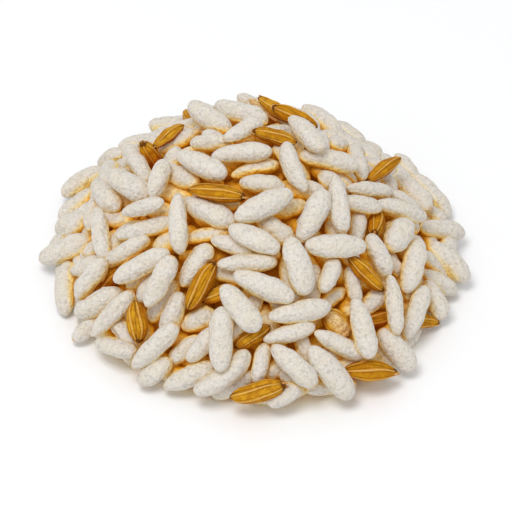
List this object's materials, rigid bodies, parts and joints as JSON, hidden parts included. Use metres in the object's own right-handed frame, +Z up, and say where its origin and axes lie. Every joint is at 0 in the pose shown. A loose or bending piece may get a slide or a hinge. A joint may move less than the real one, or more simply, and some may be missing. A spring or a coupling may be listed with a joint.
{
  "type": "heap of puffed rice",
  "caption": "Low loose heap of white puffed rice with a few golden unhusked grains, lying on a flat bottom.",
  "frame": {"origin": "middle of the heap's flat bottom, on the surface it lies on", "axes": "+Z up, -Y towards the side first looked at, +X to its right"},
  "size_m": [0.0758, 0.079, 0.0308],
  "materials": {
    "puffed_rice": "dry matt white grain, finely pebbled"
  },
  "bodies": {
    "root": {"puffed_rice_heap": "puffed_rice"}
  },
  "joints": []
}
